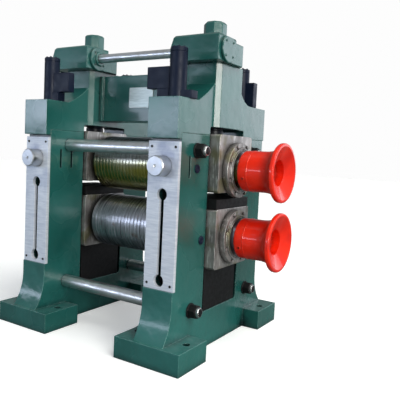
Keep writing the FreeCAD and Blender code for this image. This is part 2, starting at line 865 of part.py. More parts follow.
def build():
    os.makedirs("parts", exist_ok=True)
    ends = (-1, 1)
    for side, direction in sides:
        centre_x = direction * half_spacing
        export(f"{side}_housing", [housing(centre_x)])
        export(f"{side}_cap", [cap(centre_x)])
        export(f"{side}_front_liner", [front_liner(centre_x)])
        export(f"{side}_rear_liner", [rear_liner(centre_x)])
        export(f"{side}_locking_pins", [locking_pin(centre_x, end) for end in ends])
        export(f"{side}_gearbox", [gearbox(centre_x)])
        export(f"{side}_worm_covers", [worm_cover(centre_x, facing) for facing in ends])
        export(f"{side}_screw_boss", [screw_boss(centre_x)])
        export(f"{side}_pressure_screw", [pressure_screw(centre_x)])
        export(f"{side}_clamp_columns", [clamp_column(centre_x, end) for end in ends])
        upper_z = (upper_chock_bottom_z, upper_chock_top_z)
        lower_z = (lower_chock_bottom_z, lower_chock_top_z)
        export(f"{side}_upper_chock", [chock(direction, upper_axis_z, upper_z)])
        export(f"{side}_lower_chock", [chock(direction, lower_axis_z, lower_z)])
        export(f"{side}_upper_bearing_cover", [bearing_cover(direction, upper_axis_z)])
        export(f"{side}_lower_bearing_cover", [bearing_cover(direction, lower_axis_z)])

    export("upper_roll", [roll(upper_axis_z)])
    export("lower_roll", [roll(lower_axis_z)])
    export("upper_coupling", [coupling(upper_axis_z)])
    export("lower_coupling", [coupling(lower_axis_z)])

    rods = {"front": -rod_y, "rear": rod_y}
    for place, y in rods.items():
        export(f"{place}_upper_tie_rod", [tie_rod(y, rod_high_z)])
        export(f"{place}_lower_tie_rod", [tie_rod(y, rod_low_z)])
    nut_places = [(y, z) for y in rods.values() for z in (rod_high_z, rod_low_z)]
    export("tie_rod_nuts", [tie_rod_nut(y, z, d) for y, z in nut_places for d in ends])

    both = [(direction * half_spacing, direction) for _, direction in sides]
    export("window_spacers", [window_spacer(x) for x, _ in both])
    export("chock_separators", [separators(direction) for _, direction in both])
    feet_made = [foot for x, d in both for end in ends for foot in clamp_foot(x, end, d)]
    export("clamp_feet", feet_made)
    export("valve_blocks", [valve_block(x, end, d) for x, d in both for end in ends])
    export("worm_shaft", [worm_shaft()])
    export("cross_beam", [cross_beam()])
    export("nameplate", [nameplate()])


build()
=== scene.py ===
import json
import math

import bmesh
import bpy
from mathutils import Matrix, Vector

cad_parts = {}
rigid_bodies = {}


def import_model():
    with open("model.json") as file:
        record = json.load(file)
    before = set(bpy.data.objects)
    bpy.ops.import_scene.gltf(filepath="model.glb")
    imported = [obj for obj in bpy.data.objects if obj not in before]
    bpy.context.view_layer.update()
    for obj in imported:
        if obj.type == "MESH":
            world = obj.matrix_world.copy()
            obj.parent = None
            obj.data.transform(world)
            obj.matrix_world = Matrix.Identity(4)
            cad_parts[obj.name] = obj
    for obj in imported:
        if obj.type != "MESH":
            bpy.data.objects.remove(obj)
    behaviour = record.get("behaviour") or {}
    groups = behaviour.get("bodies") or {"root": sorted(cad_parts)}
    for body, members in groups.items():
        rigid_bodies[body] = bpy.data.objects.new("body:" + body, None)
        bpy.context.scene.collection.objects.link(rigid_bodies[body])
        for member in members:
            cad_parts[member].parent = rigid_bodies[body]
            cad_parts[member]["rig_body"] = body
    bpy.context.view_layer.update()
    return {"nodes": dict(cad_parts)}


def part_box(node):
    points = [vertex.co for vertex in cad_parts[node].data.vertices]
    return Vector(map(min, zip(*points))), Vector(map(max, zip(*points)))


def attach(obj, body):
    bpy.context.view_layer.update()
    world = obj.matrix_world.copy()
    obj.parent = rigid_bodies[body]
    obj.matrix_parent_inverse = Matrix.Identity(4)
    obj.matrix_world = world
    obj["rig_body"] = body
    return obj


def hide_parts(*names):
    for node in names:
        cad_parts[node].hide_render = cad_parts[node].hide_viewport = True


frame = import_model()
print("frame loaded,", len(frame["nodes"]), "nodes")

mm = 0.001
xAxis = Vector((1, 0, 0))
zAxis = Vector((0, 0, 1))
sides = {"drive": 1, "operator": -1}
boxOf = {name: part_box(name) for name in frame["nodes"]}


def middle(name):
    low, high = boxOf[name]
    return (low + high) / 2


# camera and light

viewSettings = {
    "place": (2.0944, -2.6892, 1.1514),
    "turn": (85.946, -2.727, 32.236),  # degrees
    "lens": 45.5,
    "shift": (0.0023, -0.0273),
    "sensor": 36,
    "clipEnd": 200,
}
camera = bpy.data.objects.new("camera", bpy.data.cameras.new("camera"))
bpy.context.scene.collection.objects.link(camera)
camera.location = viewSettings["place"]
camera.rotation_euler = [math.radians(a) for a in viewSettings["turn"]]
camera.data.lens = viewSettings["lens"]
camera.data.sensor_width = viewSettings["sensor"]
camera.data.shift_x, camera.data.shift_y = viewSettings["shift"]
camera.data.clip_end = viewSettings["clipEnd"]
bpy.context.scene.camera = camera
bpy.context.scene.view_settings.view_transform = "Standard"


def linearColour(hexText):
    # sRGB hex to the linear colour that shaders take
    def channel(k):
        c = int(hexText[k:k + 2], 16) / 255
        return c / 12.92 if c <= 0.04045 else ((c + 0.055) / 1.055) ** 2.4
    return (channel(1), channel(3), channel(5), 1.0)


def addNode(tree, kind, settings=None, links=None):
    node = tree.nodes.new(kind)
    for key, value in (settings or {}).items():
        if key == "stops":
            ramp = node.color_ramp.elements
            while len(ramp) < len(value):
                ramp.new(1.0)
            for stop, (position, colour) in zip(ramp, value):
                stop.position = position
                stop.color = colour if len(colour) == 4 else (*colour, 1.0)
        elif isinstance(key, int) or key in node.inputs:
            node.inputs[key].default_value = value
        else:
            setattr(node, key, value)
    for key, source in (links or {}).items():
        tree.links.new(source, node.inputs[key])
    return node


lightSettings = {
    "windowBand": {"place": (-4.4, -7.2, 1.95), "size": (8.0, 0.8), "power": 190,
                   "colour": "#DCE8FF"},
    "openDoor": {"place": (6.2, -4.1, 2.0), "size": (2.6, 2.6), "power": 300, "colour": "#FFFDF8"},
    "rearWall": {"place": (3.6, 6.4, 2.6), "size": (5.0, 3.0), "power": 110, "colour": "#F2F6FF"},
}
lookAt = Vector((0, 0, 1.0))
for name, setting in lightSettings.items():
    lamp = bpy.data.objects.new(name, bpy.data.lights.new(name, "AREA"))
    bpy.context.scene.collection.objects.link(lamp)
    lamp.location = setting["place"]
    lamp.rotation_euler = (lookAt - lamp.location).to_track_quat("-Z", "Y").to_euler()
    lamp.data.shape = "RECTANGLE"
    lamp.data.size, lamp.data.size_y = setting["size"]
    lamp.data.energy = setting["power"]
    lamp.data.color = linearColour(setting["colour"])[:3]
    lamp.visible_camera = False

sunSettings = {"from": (0.8, -0.12, 1.0), "spread": 40, "power": 2.0, "colour": "#FFFDF6"}
sky = bpy.data.objects.new("roofLight", bpy.data.lights.new("roofLight", "SUN"))
bpy.context.scene.collection.objects.link(sky)
sky.rotation_euler = Vector(sunSettings["from"]).to_track_quat("Z", "Y").to_euler()
sky.data.angle = math.radians(sunSettings["spread"])
sky.data.energy = sunSettings["power"]
sky.data.color = linearColour(sunSettings["colour"])[:3]

roomColours = {
    "low": "#5E6664", "middle": "#98A2A6", "high": "#F2F6F8", "strength": 0.40, "backdrop": "#FDFDFD",
}
world = bpy.data.worlds.new("studio")
bpy.context.scene.world = world
world.use_nodes = True
tree = world.node_tree
tree.nodes.clear()
place = addNode(tree, "ShaderNodeTexCoord")
split = addNode(tree, "ShaderNodeSeparateXYZ", links={"Vector": place.outputs["Generated"]})
rise = addNode(tree, "ShaderNodeMapRange", {"From Min": -1.0}, {"Value": split.outputs["Z"]})
room = addNode(tree, "ShaderNodeValToRGB", {"stops": [
    (0.35, linearColour(roomColours["low"])),
    (0.52, linearColour(roomColours["middle"])),
    (0.85, linearColour(roomColours["high"])),
]}, {"Fac": rise.outputs["Result"]})
roomGlow = addNode(tree, "ShaderNodeBackground", {"Strength": roomColours["strength"]},
                   {"Color": room.outputs["Color"]})
backdrop = addNode(tree, "ShaderNodeBackground", {"Color": linearColour(roomColours["backdrop"])})
rayKind = addNode(tree, "ShaderNodeLightPath")
seen = addNode(tree, "ShaderNodeMixShader", links={
    0: rayKind.outputs["Is Camera Ray"], 1: roomGlow.outputs[0], 2: backdrop.outputs[0]})
addNode(tree, "ShaderNodeOutputWorld", links={"Surface": seen.outputs[0]})
print("camera and light set")


# materials: object coordinates are metres in the stand's own frame

def perMetre(sizeInMm):
    # a pattern's scale from the size of its grains
    return 1000 / sizeInMm


def newSurface(name, settings):
    material = bpy.data.materials.new(name)
    material.use_nodes = True
    tree = material.node_tree
    tree.nodes.clear()
    shader = addNode(tree, "ShaderNodeBsdfPrincipled", settings)
    addNode(tree, "ShaderNodeOutputMaterial", links={"Surface": shader.outputs[0]})
    place = addNode(tree, "ShaderNodeTexCoord")
    return material, tree, shader, place.outputs["Object"]


def tinted(tree, factor, first, second):
    # blend of two colours or colour outputs
    blend = addNode(tree, "ShaderNodeMix", {"data_type": "RGBA"}, {0: factor})
    for socket, colour in ((6, first), (7, second)):
        if isinstance(colour, str):
            blend.inputs[socket].default_value = linearColour(colour)
        else:
            tree.links.new(colour, blend.inputs[socket])
    return blend.outputs[2]


def windowed(tree, source, low, high, outLow=0.0, outHigh=1.0):
    # source between low and high, stretched to outLow and outHigh
    return addNode(tree, "ShaderNodeMapRange", {
        "From Min": low, "From Max": high, "To Min": outLow, "To Max": outHigh,
    }, {"Value": source}).outputs["Result"]


def grains(tree, place, sizeInMm, detail=2.0, stretch=(1, 1, 1), roughness=0.5):
    # noise whose grains are sizeInMm across, longer along an axis whose stretch is above 1
    mapped = addNode(tree, "ShaderNodeMapping", {"Scale": [1 / s for s in stretch]},
                     {"Vector": place})
    return addNode(tree, "ShaderNodeTexNoise", {
        "Scale": perMetre(sizeInMm), "Detail": detail, "Roughness": roughness,
    }, {"Vector": mapped.outputs["Vector"]}).outputs["Fac"]


def wornEdges(tree, reachInMm, low=0.55, high=0.97):
    # 1 on corners and edges, 0 on flats, from how the rounded normal differs from the true one
    rounded = addNode(tree, "ShaderNodeBevel", {"samples": 4, "Radius": reachInMm * mm})
    true = addNode(tree, "ShaderNodeNewGeometry")
    agree = addNode(tree, "ShaderNodeVectorMath", {"operation": "DOT_PRODUCT"}, {
        0: rounded.outputs["Normal"], 1: true.outputs["Normal"]})
    return windowed(tree, agree.outputs["Value"], high, low), rounded.outputs["Normal"]


def shadedNooks(tree, reachInMm):
    # 1 in corners and recesses, 0 in the open; the materials darken what this marks as painted shade,
    # with some grime
    openness = addNode(tree, "ShaderNodeAmbientOcclusion",
                       {"samples": 4, "Distance": reachInMm * mm})
    return windowed(tree, openness.outputs["AO"], 0.74, 0.46)


def multiplied(tree, first, second):
    # product of two values
    return addNode(tree, "ShaderNodeMath", {"operation": "MULTIPLY"}, {0: first, 1: second}).outputs[0]


def heightOf(tree, place):
    # metres above the floor
    return addNode(tree, "ShaderNodeSeparateXYZ", links={"Vector": place}).outputs["Z"]


def bumped(tree, pattern, strength, depthInMm, normal=None):
    # relief depthInMm deep from a pattern, on top of another normal where one is given
    links = {"Height": pattern} if normal is None else {"Height": pattern, "Normal": normal}
    bump = addNode(tree, "ShaderNodeBump", {"Distance": depthInMm * mm}, links)
    if isinstance(strength, float):
        bump.inputs["Strength"].default_value = strength
    else:
        tree.links.new(strength, bump.inputs["Strength"])
    return bump.outputs[0]


# the edge colour is worn paint and painted highlight, the grime colour is painted shade in the nooks
# with some grime, the dust colour is dust and painted light on what faces up
enamelSettings = {
    "paint": "#184F4A", "paintWorn": "#25645F", "edge": "#86B8B2", "shadeAndGrime": "#081116",
    "dustAndTopLight": "#4A7872", "roughness": 0.26, "castWaveMm": 110, "peelMm": 18,
}


def glossEnamelOnCasting(name, settings):
    # brushed gloss enamel over sand-cast steel: wavy highlights from the cast skin, orange peel in
    # the paint, paler paint on edges as wear and painted highlight, painted shade with grime
    # streaks in the nooks, and dust with painted top light on what faces up
    material, tree, shader, place = newSurface(name, {
        "IOR": 1.5, "Coat Weight": 0.35, "Coat Roughness": 0.12})
    patches = grains(tree, place, 420, 3.0)
    base = tinted(tree, windowed(tree, patches, 0.35, 0.68), settings["paint"],
                  settings["paintWorn"])
    corners, softNormal = wornEdges(tree, 7)
    chips = grains(tree, place, 24, 4.0)
    # paler paint on chipped edges: wear, and also a painted highlight along the edges
    edgeWearAndHighlight = multiplied(tree, corners, windowed(tree, chips, 0.38, 0.62, 0.35, 1.0))
    base = tinted(tree, edgeWearAndHighlight, base, settings["edge"])
    # painted shade: corners and recesses darkened to near black, broken up by grime streaks
    streaks = grains(tree, place, 60, 4.0, (1, 1, 7))
    shadeAndGrimeMask = multiplied(tree, shadedNooks(tree, 90), windowed(tree, streaks, 0.3, 0.65, 0.75, 1.0))
    base = tinted(tree, shadeAndGrimeMask, base, settings["shadeAndGrime"])
    # paler teal on what faces up: dust, and also painted light from above
    upward = heightOf(tree, addNode(tree, "ShaderNodeNewGeometry").outputs["Normal"])
    dustAndTopLightMask = multiplied(tree, windowed(tree, upward, 0.8, 1.0, 0.0, 0.5),
                         windowed(tree, grains(tree, place, 70, 5.0), 0.35, 0.7))
    base = tinted(tree, dustAndTopLightMask, base, settings["dustAndTopLight"])
    tree.links.new(base, shader.inputs["Base Color"])
    smoothest, dullest = settings["roughness"] - 0.06, settings["roughness"] + 0.10
    tree.links.new(windowed(tree, patches, 0.3, 0.7, smoothest, dullest), shader.inputs["Roughness"])
    wavy = windowed(tree, heightOf(tree, place), 0.60, 0.36, 0.45, 1.0)  # most on the lower legs
    waves, pimples = (grains(tree, place, settings[k], 2.0) for k in ("castWaveMm", "peelMm"))
    castSkin = bumped(tree, waves, wavy, 10.0, softNormal)
    tree.links.new(bumped(tree, pimples, 0.25, 0.6, castSkin), shader.inputs["Normal"])
    return material


# the grime colour is painted shade in the slots and corners, with some grime
linerSettings = {
    "steel": "#C6CDD9", "pale": "#DADFE8", "stain": "#6F7FA8", "shadeAndGrime": "#3A383C", "millMm": 9,
}


def milledSteel(name, settings):
    # face-milled tool steel: matt grey-blue with fine level cutter lines and faint blue heat stains
    material, tree, shader, place = newSurface(name, {"Metallic": 0.35, "Roughness": 0.55})
    lines = grains(tree, place, settings["millMm"], 3.0, (9, 9, 1))
    base = tinted(tree, windowed(tree, lines, 0.35, 0.65), settings["steel"], settings["pale"])
    stained = multiplied(tree, windowed(tree, grains(tree, place, 120, 3.0), 0.48, 0.66, 0.0, 0.55),
                         windowed(tree, heightOf(tree, place), 0.75, 1.15))
    base = tinted(tree, stained, base, settings["stain"])
    # painted shade: slots and corners darkened by the occlusion mask, with some grime
    shadeAndGrimeMask = windowed(tree, shadedNooks(tree, 30), 0.0, 1.0, 0.0, 0.6)
    tree.links.new(tinted(tree, shadeAndGrimeMask, base, settings["shadeAndGrime"]), shader.inputs["Base Color"])
    tree.links.new(bumped(tree, lines, 0.3, 0.3), shader.inputs["Normal"])
    return material


# the grime colour is painted shade in the corners, with some grime
chockSettings = {
    "steel": "#ACA9A8", "dark": "#7C7978", "oil": "#6B6624", "scratch": "#EFEFEC", "shadeAndGrime": "#15130F",
    "scratchMm": 9,
}


def oiledMachinedSteel(name, settings):
    # planed chock steel, never painted: grey worn faces, bright rubbed scratches, patches of yellow oil
    material, tree, shader, place = newSurface(name, {"Metallic": 0.6})
    patches = grains(tree, place, 150, 4.0)
    base = tinted(tree, windowed(tree, patches, 0.40, 0.62), settings["dark"], settings["steel"])
    rubs = grains(tree, place, settings["scratchMm"], 3.0, (1, 1, 9), 0.6)
    bright = windowed(tree, rubs, 0.56, 0.68, 0.0, 0.55)
    base = tinted(tree, bright, base, settings["scratch"])
    film = windowed(tree, grains(tree, place, 130, 2.0), 0.56, 0.68, 0.0, 0.55)
    base = tinted(tree, film, base, settings["oil"])
    # painted shade: corners and recesses darkened almost to black, with some grime
    shadeAndGrimeMask = windowed(tree, shadedNooks(tree, 50), 0.0, 1.0, 0.0, 0.85)
    tree.links.new(tinted(tree, shadeAndGrimeMask, base, settings["shadeAndGrime"]), shader.inputs["Base Color"])
    tree.links.new(windowed(tree, rubs, 0.35, 0.7, 0.5, 0.3), shader.inputs["Roughness"])
    tree.links.new(bumped(tree, rubs, 0.4, 0.5), shader.inputs["Normal"])
    return material


# the oil colour is oil and also a painted reflection low on the upper roll
rollSettings = {
    "steel": "#D2D3DB", "dark": "#74757C", "oil": "#948E26", "rust": "#8A4A1E", "turnMm": 3,
}


def turnedRollSteel(name, settings):
    # lathe-turned chilled iron: rings of tool marks round the axis, an olive oil film that is also
    # a painted reflection low on the upper roll, and some rust bloom
    material, tree, shader, place = newSurface(name, {"Metallic": 1.0})
    rings = grains(tree, place, settings["turnMm"], 2.0, (1, 60, 60))
    base = tinted(tree, windowed(tree, rings, 0.35, 0.65), settings["dark"], settings["steel"])
    height = heightOf(tree, place)
    # painted reflection: an olive band on the underside of the upper roll, also standing for pooled oil
    pooledOilAndReflection = multiplied(tree, windowed(tree, height, 1.13, 1.03, 0.0, 0.9),
                        windowed(tree, height, 0.84, 0.88))
    cloud = windowed(tree, grains(tree, place, 210, 2.0, (2, 1, 1)), 0.35, 0.62, 0.55, 1.0)
    film = multiplied(tree, pooledOilAndReflection, cloud)
    base = tinted(tree, film, base, settings["oil"])
    bloom = windowed(tree, grains(tree, place, 90, 4.0), 0.62, 0.72, 0.0, 0.5)
    base = tinted(tree, bloom, base, settings["rust"])
    tree.links.new(base, shader.inputs["Base Color"])
    tree.links.new(windowed(tree, film, 0.0, 0.6, 0.33, 0.22), shader.inputs["Roughness"])
    tree.links.new(bumped(tree, rings, 0.35, 0.3), shader.inputs["Normal"])
    return material


# the grime colour is painted shade in the nooks, with some grime
couplingSettings = {"paint": "#EE2400", "deep": "#D01600", "scuff": "#FF6A48", "shadeAndGrime": "#3A0601"}


def glossRedEnamel(name, settings):
    # sprayed gloss enamel on turned steel: even red-orange with sharp highlights and scuffed rims
    material, tree, shader, place = newSurface(name, {
        "IOR": 1.5, "Roughness": 0.45, "Specular IOR Level": 0.3,
        "Coat Weight": 0.45, "Coat Roughness": 0.05})
    cloud = windowed(tree, grains(tree, place, 160, 3.0), 0.38, 0.66)
    base = tinted(tree, cloud, settings["paint"], settings["deep"])
    corners, softNormal = wornEdges(tree, 5)
    chips = windowed(tree, grains(tree, place, 18, 4.0), 0.45, 0.62, 0.0, 0.8)
    base = tinted(tree, multiplied(tree, corners, chips), base, settings["scuff"])
    # painted shade: corners and recesses darkened to a deep red-brown, with some grime
    shadeAndGrimeMask = windowed(tree, shadedNooks(tree, 45), 0.0, 1.0, 0.0, 0.75)
    tree.links.new(tinted(tree, shadeAndGrimeMask, base, settings["shadeAndGrime"]), shader.inputs["Base Color"])
    peel = bumped(tree, grains(tree, place, 26, 2.0), 0.3, 0.8, softNormal)
    tree.links.new(peel, shader.inputs["Normal"])
    return material


def hardChromeBar(name, tone, roughness, ringStrength):
    # ground and hard-chromed bar: bright, with faint grinding rings and a dulling film in patches
    material, tree, shader, place = newSurface(name, {"Metallic": 1.0})
    film = windowed(tree, grains(tree, place, 60, 4.0), 0.42, 0.7, 0.0, 0.6)
    tree.links.new(tinted(tree, film, tone, "#B4B2AC"), shader.inputs["Base Color"])
    tree.links.new(windowed(tree, film, 0.0, 1.0, roughness, roughness + 0.16),
                   shader.inputs["Roughness"])
    rings = grains(tree, place, 5, 1.0, (1, 40, 40))
    tree.links.new(bumped(tree, rings, ringStrength, 0.1), shader.inputs["Normal"])
    return material


def sprayedDarkEnamel(name, paint, edge, roughness):
    # thin sprayed enamel on machined steel: near black with a blue cast, rubbed paler on its edges
    material, tree, shader, place = newSurface(name, {"IOR": 1.5, "Specular IOR Level": 0.25})
    corners, softNormal = wornEdges(tree, 4)
    chips = windowed(tree, grains(tree, place, 15, 4.0), 0.4, 0.62, 0.1, 0.8)
    worn = multiplied(tree, corners, chips)
    cloud = tinted(tree, windowed(tree, grains(tree, place, 90, 3.0), 0.35, 0.7), paint, "#101B30")
    tree.links.new(tinted(tree, worn, cloud, edge), shader.inputs["Base Color"])
    smears = grains(tree, place, 40, 4.0)
    tree.links.new(windowed(tree, smears, 0.3, 0.7, roughness - 0.08, roughness + 0.12),
                   shader.inputs["Roughness"])
    peel = bumped(tree, grains(tree, place, 12, 2.0), 0.2, 0.4, softNormal)
    tree.links.new(peel, shader.inputs["Normal"])
    return material


def blackenedSteel(name):
    # hot-blackened nuts and packing: soft black oxide, greasy, worn to grey steel on the corners
    material, tree, shader, place = newSurface(name, {"Metallic": 0.3, "Specular IOR Level": 0.35})
    corners, softNormal = wornEdges(tree, 3)
    worn = multiplied(tree, corners, windowed(tree, grains(tree, place, 10, 4.0), 0.4, 0.62, 0.0, 0.4))
    tree.links.new(tinted(tree, worn, "#131214", "#6E6C68"), shader.inputs["Base Color"])
    tree.links.new(windowed(tree, grains(tree, place, 25, 3.0), 0.3, 0.7, 0.45, 0.7),
                   shader.inputs["Roughness"])
    tree.links.new(softNormal, shader.inputs["Normal"])
    return material


def anodisedPlate(name):
    # rolled and clear-anodised aluminium sheet: pale, matt, faint level rolling grain
    material, tree, shader, place = newSurface(name, {"Metallic": 0.6, "Roughness": 0.45})
    grain = grains(tree, place, 4, 3.0, (14, 14, 1))
    tree.links.new(tinted(tree, windowed(tree, grain, 0.35, 0.65), "#C6D2D0", "#DCE6E4"),
                   shader.inputs["Base Color"])
    tree.links.new(bumped(tree, grain, 0.2, 0.1), shader.inputs["Normal"])
    return material


finishes = {
    "green_casting": glossEnamelOnCasting("glossEnamelOnCasting", enamelSettings),
    "machined_liner": milledSteel("milledToolSteel", linerSettings),
    "polished_steel": hardChromeBar("groundPinSteel", "#C9CCD2", 0.30, 0.12),
    "screw_steel": sprayedDarkEnamel("oiledScrewSteel", "#26241F", "#6F6B60", 0.35),
    "cylinder_black": sprayedDarkEnamel("sprayedBlueBlackEnamel", "#0A142A", "#3A4458", 0.46),
    "chock_steel": oiledMachinedSteel("oiledPlanedSteel", chockSettings),
    "roll_steel": turnedRollSteel("turnedChilledIron", rollSettings),
    "red_paint": glossRedEnamel("glossRedEnamel", couplingSettings),
    "chrome_rod": hardChromeBar("hardChromedBar", "#DCDFE3", 0.34, 0.03),
    "black_nut": blackenedSteel("blackOxideSteel"),
    "plate_aluminium": anodisedPlate("anodisedAluminium"),
}
print(len(finishes), "materials made")


# mesh tools

def finishPiece(bm, name, slotName, body, replaced=(), sharpAngle=32):
    # turns the working mesh into a piece of the stand
    bmesh.ops.recalc_face_normals(bm, faces=bm.faces)
    for face in bm.faces:
        face.smooth = True
    mesh = bpy.data.meshes.new(name)
    bm.to_mesh(mesh)
    bm.free()
    mesh.set_sharp_from_angle(angle=math.radians(sharpAngle))
    piece = bpy.data.objects.new(name, mesh)
    bpy.context.scene.collection.objects.link(piece)
    mesh.materials.append(finishes[slotName])
    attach(piece, body)
    if replaced:
        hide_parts(*replaced)
    return piece


def aimed(place, direction):
    # a matrix whose own +Z points along direction, standing at place
    return Matrix.Translation(place) @ Vector(direction).to_track_quat("Z",
        "Y").to_matrix().to_4x4()


def onCircle(matrix, radius, turn, height):
    # the point at a turn round a matrix's own Z axis
    return matrix @ Vector((radius * math.cos(turn), radius * math.sin(turn), height))


def addLathe(bm, matrix, profile, segments=64, closed=False):
    # profile is (height along the axis, radius) from start to end; closed joins its ends
    rings = []
    for height, radius in profile:
        if radius < 1e-6:
            rings.append([bm.verts.new(matrix @ Vector((0, 0, height)))])
        else:
            turns = [2 * math.pi * k / segments for k in range(segments)]
            rings.append([bm.verts.new(onCircle(matrix, radius, a, height)) for a in turns])
    pairs = list(zip(rings, rings[1:])) + ([(rings[-1], rings[0])] if closed else [])
    for first, second in pairs:
        for k in range(segments):
            n = (k + 1) % segments
            if len(first) == 1 and len(second) == 1:
                continue
            if len(first) == 1:
                bm.faces.new((first[0], second[n], second[k]))
            elif len(second) == 1:
                bm.faces.new((first[k], first[n], second[0]))
            else:
                bm.faces.new((first[k], first[n], second[n], second[k]))


def addHexHead(bm, matrix, acrossFlats, height, steps=8, crownShare=0.96, crownSlope=0.6):
    # a bolt head or nut with the curved corners that a conical chamfer leaves
    flat = acrossFlats / 2
    top = flat * crownShare
    turns = [math.radians(60 * face + 60 * k / steps - 30) for face in range(6) for k in range(steps)]
    halfFace, wholeFace = math.radians(30), math.radians(60)
    reach = [flat / math.cos((a + halfFace) % wholeFace - halfFace) for a in turns]
    crown = [bm.verts.new(onCircle(matrix, top, a, height)) for a in turns]
    rim, foot = [], []
    for a, r in zip(turns, reach):
        rim.append(bm.verts.new(onCircle(matrix, r, a, height - (r - top) * crownSlope)))
    for a, r in zip(turns, reach):
        foot.append(bm.verts.new(onCircle(matrix, r, a, 0)))
    bm.faces.new(crown)
    for k in range(len(turns)):
        n = (k + 1) % len(turns)
        bm.faces.new((foot[k], foot[n], rim[n], rim[k]))
        bm.faces.new((rim[k], rim[n], crown[n], crown[k]))


def addSocketScrew(bm, matrix, radius, height):
    # a cap screw with a six-sided socket in its head
    addLathe(bm, matrix,
             [(0, radius), (height * 0.85, radius), (height, radius * 0.86),
              (height, radius * 0.62)], 24)
    addLathe(bm, matrix,
             [(height, radius * 0.62), (height * 0.98, radius * 0.55),
              (height * 0.35, radius * 0.5), (height * 0.35, 0)], 6)


def curved(first, pull, last, steps=8):
    # points on a smooth arc from first to last that bows towards pull
    made = []
    for k in range(1, steps + 1):
        t = k / steps
        shares = ((1 - t) ** 2, 2 * t * (1 - t), t * t)
        made.append(tuple(shares[0] * a + shares[1] * b + shares[2] * c
                          for a, b, c in zip(first, pull, last)))
    return made


def machined(nodeName, slotName, edgeMm, newName, sharpFrom=30, segments=2):
    # the node's own shape with its edges broken, as a foundry or fitter leaves them
    node = frame["nodes"][nodeName]
    bm = bmesh.new()
    bm.from_mesh(node.data)
    bmesh.ops.remove_doubles(bm, verts=bm.verts, dist=0.02 * mm)
    bmesh.ops.dissolve_limit(bm, angle_limit=math.radians(0.3), verts=bm.verts, edges=bm.edges)
    corners = [e for e in bm.edges if len(e.link_faces) == 2
               and e.calc_face_angle(0) > math.radians(sharpFrom)]
    bmesh.ops.bevel(bm, geom=corners, offset=edgeMm * mm, segments=segments, profile=0.6,
                    affect="EDGES", clamp_overlap=True)
    piece = finishPiece(bm, newName, slotName, node["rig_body"], [nodeName])
    soft = piece.modifiers.new("softShading", "WEIGHTED_NORMAL")
    soft.keep_sharp = True
    return piece


# castings and plain machined parts keep the node's shape and get broken edges

castParts = {
    "housing": ("green_casting", 4.0), "cap": ("green_casting", 4.0),
    "gearbox": ("green_casting", 4.0),
    "screw_boss": ("green_casting", 3.0), "front_liner": ("machined_liner", 1.2),
    "rear_liner": ("machined_liner", 1.2),
    "upper_chock": ("chock_steel", 3.0), "lower_chock": ("chock_steel", 3.0),
}
for side in sides:
    for part, (slotName, edgeMm) in castParts.items():
        machined(f"{side}_{part}", slotName, edgeMm, f"{side}_{part}_shape")
singleParts = {
    "clamp_feet": ("cylinder_black", 3.0), "valve_blocks": ("cylinder_black", 3.0),
    "window_spacers": ("black_nut", 3.0), "chock_separators": ("black_nut", 3.0),
    "cross_beam": ("green_casting", 3.0),
}
for part, (slotName, edgeMm) in singleParts.items():
    machined(part, slotName, edgeMm, part + "_shape")
print("castings done")


# rolls: turned rings along the barrel

rollParts = {
    "barrelLength": 660, "barrelEdge": 6, "shoulderRadius": 142, "neckRadius": 110,
    "wobblerRadius": 84,
    "neckStart": 361, "coverEnd": 710, "stepEdge": 4, "rings": 24, "ringWidth": 11,
    "ringDepth": 3.5,
}


def makeRoll(nodeName, body):
    low, high = boxOf[nodeName]
    s = rollParts
    radius = (high.z - low.z) / 2
    axisZ = (high.z + low.z) / 2
    half = s["barrelLength"] * mm / 2
    shoulder, neck, wobbler = (s[k] * mm for k in ("shoulderRadius", "neckRadius", "wobblerRadius"))
    neckStart, coverEnd, edge = s["neckStart"] * mm, s["coverEnd"] * mm, s["barrelEdge"] * mm
    soft = s["stepEdge"] * mm
    profile = [(low.x, 0), (low.x, neck - soft), (low.x + soft, neck), (-neckStart, neck)]
    profile += [(-neckStart, shoulder - soft), (-neckStart + soft, shoulder),
                (-half - soft, shoulder)]
    profile += [(-half, shoulder + soft), (-half, radius - edge), (-half + edge, radius)]
    pitch = (2 * half - 2 * edge) / s["rings"]
    for k in range(s["rings"]):
        centre = -half + edge + pitch * (k + 0.5)
        reach, depth = s["ringWidth"] * mm / 2, s["ringDepth"] * mm
        for t in (-1, -0.8, -0.4, 0, 0.4, 0.8, 1):
            profile.append((centre + t * reach, radius - depth * math.sqrt(1 - t * t)))
    profile += [(half - edge, radius), (half, radius - edge), (half, shoulder + soft),
                (half + soft, shoulder)]
    profile += [(neckStart - soft, shoulder), (neckStart, shoulder - soft), (neckStart, neck),
                (coverEnd, neck)]
    profile += [(coverEnd, wobbler), (high.x, wobbler), (high.x, 0)]
    bm = bmesh.new()
    addLathe(bm, aimed(Vector((0, 0, axisZ)), xAxis), profile, 120)
    finishPiece(bm, nodeName + "_turned", "roll_steel", body, [nodeName])


makeRoll("upper_roll", "upper_roll_set")
makeRoll("lower_roll", "lower_roll_set")
print("rolls done")


# roll couplings: spool with a raised ring, hollow flare and dished flange

couplingParts = {
    "root": 104, "rootLength": 22, "barrel": 120, "ringAt": 62, "ringRise": 1.5, "flareLength": 84,
    "flangeWidth": 27, "edge": 9, "dish": 152, "dishDepth": 34, "socket": 74, "socketDepth": 90,
    "seat": 85,
    "ringFoot": 4, "ringCrown": 2, "flareNeck": 12, "flareLift": 3, "lip": 2, "socketLip": 3,
    "grubAt": 40, "grubRadius": 10, "grubHeight": 5, "grubSink": 2,
}


